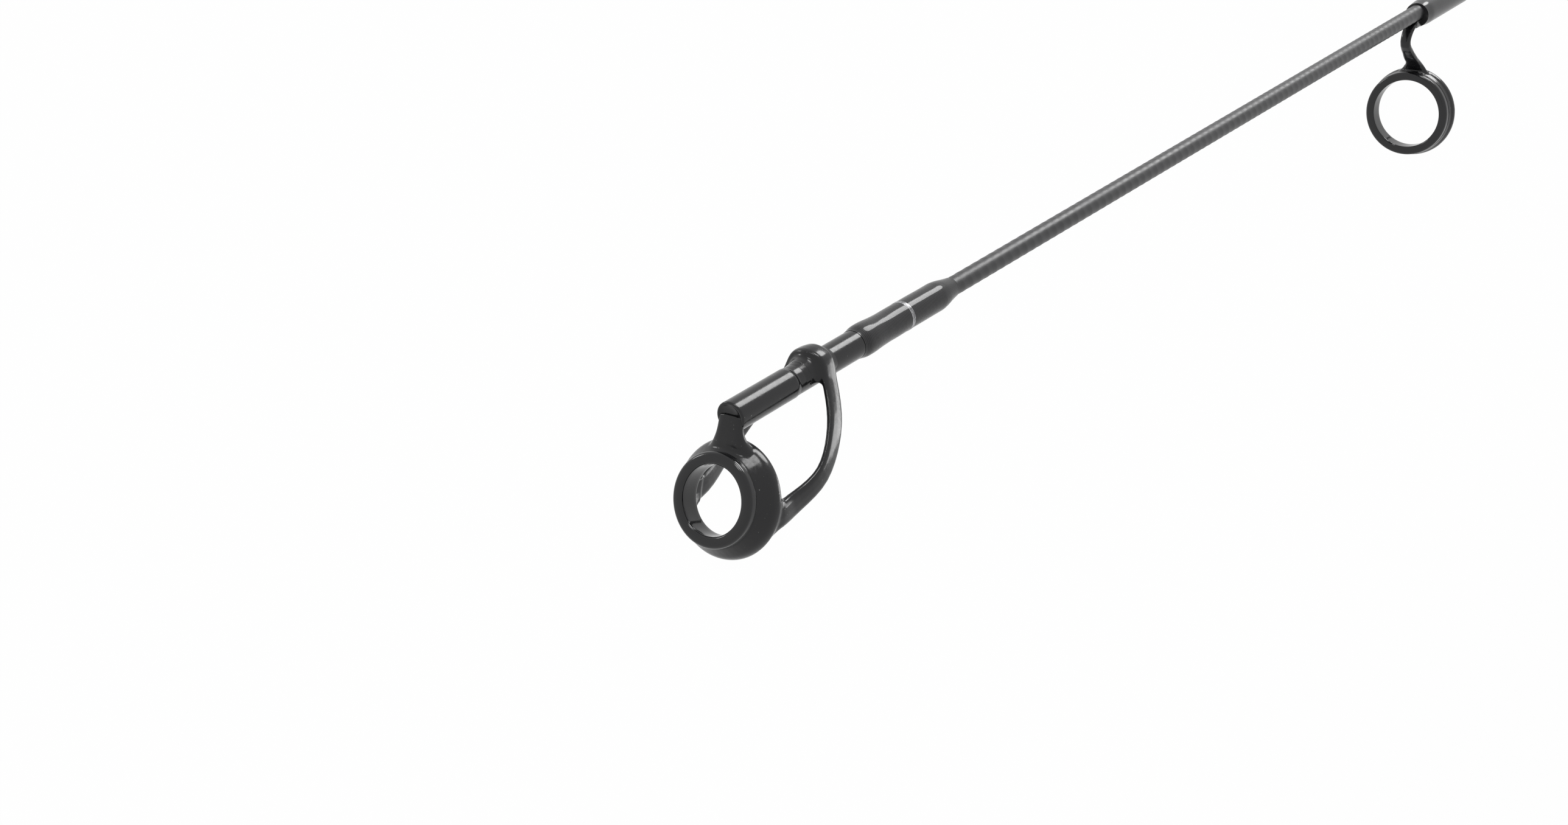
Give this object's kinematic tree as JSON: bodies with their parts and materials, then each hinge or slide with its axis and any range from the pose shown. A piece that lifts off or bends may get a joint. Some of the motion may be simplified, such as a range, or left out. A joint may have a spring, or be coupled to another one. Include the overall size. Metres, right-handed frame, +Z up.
{
  "type": "spinning rod",
  "caption": "Spinning rod in two tapered sections with ringed line guides, a looped tip-top, foam grips and a reel seat whose hood is closed by a lock nut.",
  "frame": {"origin": "centre of the butt cap's end face, on the rod's axis", "axes": "+X along the rod from butt to tip, +Z up, with the guides and the reel seat's bed hanging towards -Z"},
  "size_m": [1.8341, 0.0276, 0.0532],
  "materials": {
    "guide_frame": "gloss black coated stamped steel",
    "ceramic": "polished black ceramic",
    "thread_wrap": "black thread under clear epoxy",
    "blank": "dark grey carbon blank with fine spiral ridges under clear coat",
    "bright_trim": "bright metal",
    "foam_grip": "matt closed-cell foam",
    "butt_rubber": "matt moulded rubber",
    "seat_plastic": "satin moulded plastic",
    "arbor": "rigid foam",
    "gunmetal": "dark anodised"
  },
  "bodies": {
    "butt_section": {"butt_blank": "blank", "stripper_frame": "guide_frame", "stripper_ring": "ceramic", "stripper_wraps": "thread_wrap", "hook_keeper": "gunmetal", "hook_keeper_wraps": "thread_wrap", "winding_check": "gunmetal", "foregrip": "foam_grip", "seat_barrel": "seat_plastic", "seat_arbors": "arbor", "fixed_hood": "gunmetal", "fixed_hood_liner": "seat_plastic", "rear_trim_ring": "bright_trim", "rear_grip": "foam_grip", "butt_cap": "butt_rubber"},
    "tip_section": {"tip_top_tube": "guide_frame", "tip_top_frame": "guide_frame", "tip_top_ring": "ceramic", "tip_top_wrap": "thread_wrap", "tip_top_trim_band": "bright_trim", "tip_blank": "blank", "guide_1_frame": "guide_frame", "guide_1_ring": "ceramic", "guide_1_wrap": "thread_wrap", "guide_2_frame": "guide_frame", "guide_2_ring": "ceramic", "guide_2_wrap": "thread_wrap", "guide_3_frame": "guide_frame", "guide_3_ring": "ceramic", "guide_3_wrap": "thread_wrap", "guide_4_frame": "guide_frame", "guide_4_ring": "ceramic", "guide_4_wraps": "thread_wrap", "guide_5_frame": "guide_frame", "guide_5_ring": "ceramic", "guide_5_wraps": "thread_wrap", "ferrule_wrap": "thread_wrap", "ferrule_trim_bands": "bright_trim"},
    "sliding_hood": {"sliding_hood": "gunmetal", "sliding_hood_liner": "seat_plastic"},
    "lock_nut": {"lock_nut": "seat_plastic", "lock_nut_trim": "bright_trim"}
  },
  "joints": [
    {"name": "tip_section_pull", "type": "slide", "parent": "butt_section", "child": "tip_section", "axis": [1, 0, 0], "range_m": [0, 0.08]},
    {"name": "hood_slide", "type": "slide", "parent": "butt_section", "child": "sliding_hood", "axis": [-1, 0, 0], "range_m": [0, 0.0241]},
    {"name": "nut_turn", "type": "hinge", "parent": "sliding_hood", "child": "lock_nut", "pos_m": [0.3233, 0, 0], "axis": [-1, 0, 0], "range_deg": [0, 4320]}
  ],
  "couplings": [
    {"joint": "hood_slide", "follows": "nut_turn", "m_per_rad": 0.00031831}
  ]
}
